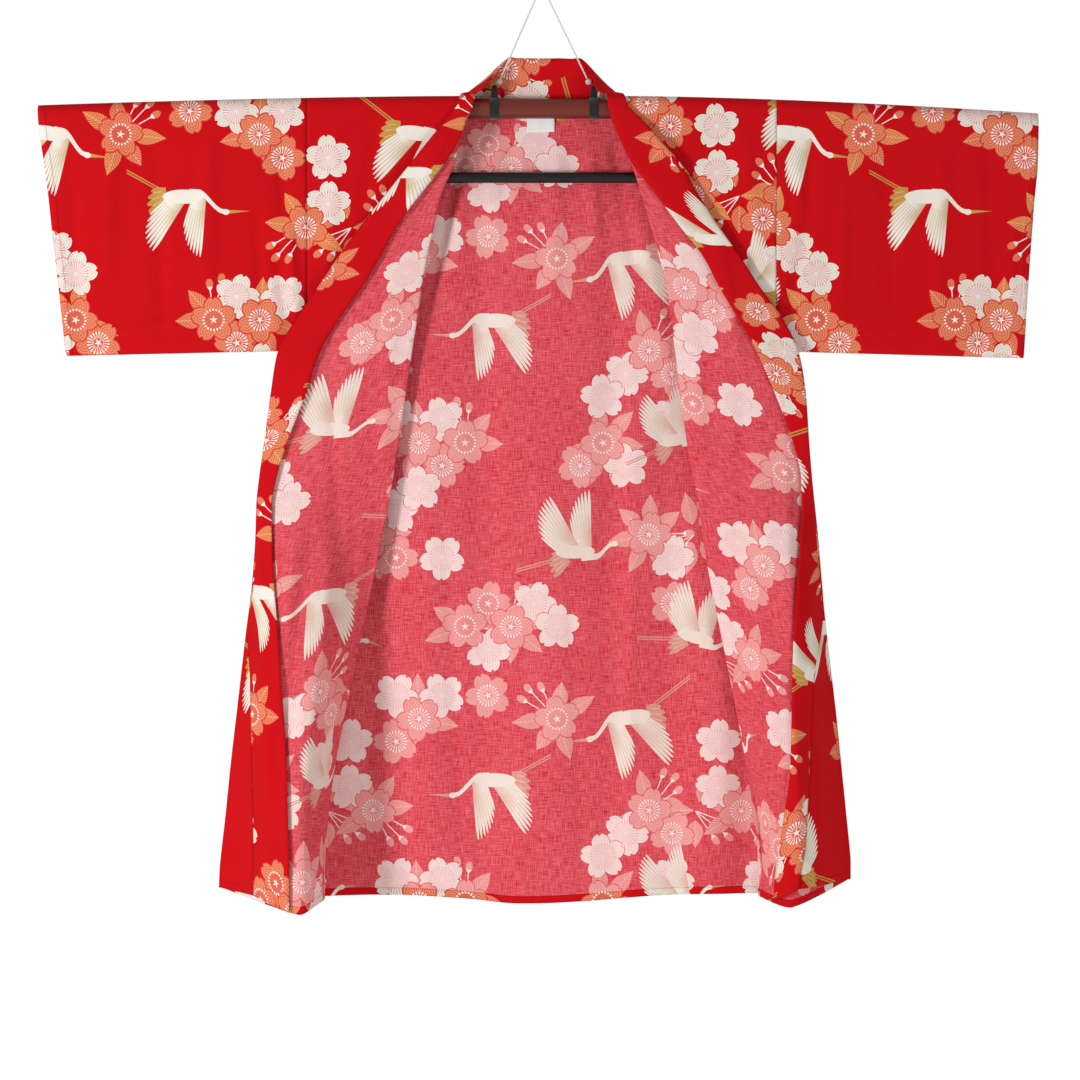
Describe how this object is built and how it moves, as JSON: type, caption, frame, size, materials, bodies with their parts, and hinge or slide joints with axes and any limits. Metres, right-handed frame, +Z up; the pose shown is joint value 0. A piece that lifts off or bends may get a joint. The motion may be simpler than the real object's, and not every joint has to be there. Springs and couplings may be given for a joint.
{
  "type": "cotton yukata on a rod hanger",
  "caption": "Short cotton yukata with wide sleeves, hung by a rod through its sleeves with both fronts folded open to show the inside, with its rod hanger and strings.",
  "frame": {"origin": "middle of the ring that the hanger's strings meet in, where a hook holds it", "axes": "+Z up, +X toward the wearer's left sleeve, +Y out behind the back panel"},
  "size_m": [1.3, 0.1379, 1.2103],
  "materials": {
    "print_cotton": "plain weave cotton, printed with cherry blossoms and cranes on red, matt",
    "label_cloth": "smooth white woven label, blank",
    "brown_rod": "varnished brown wood",
    "black_bar": "black, slightly glossy",
    "black_strap": "black hook and loop webbing",
    "clear_bead": "clear to white plastic",
    "white_string": "twisted white string",
    "steel_ring": "plain bright wire"
  },
  "bodies": {
    "root": {"back": "print_cotton", "front_right": "print_cotton", "front_left": "print_cotton", "sleeve_right": "print_cotton", "sleeve_left": "print_cotton", "collar": "print_cotton", "neck_label": "label_cloth", "rod": "brown_rod", "spreader_bar": "black_bar", "strap_right": "black_strap", "strap_left": "black_strap", "bar_loop_right": "black_strap", "bar_loop_left": "black_strap", "bead_right": "clear_bead", "bead_left": "clear_bead", "string_right": "white_string", "string_left": "white_string", "hanging_ring": "steel_ring"}
  },
  "joints": []
}
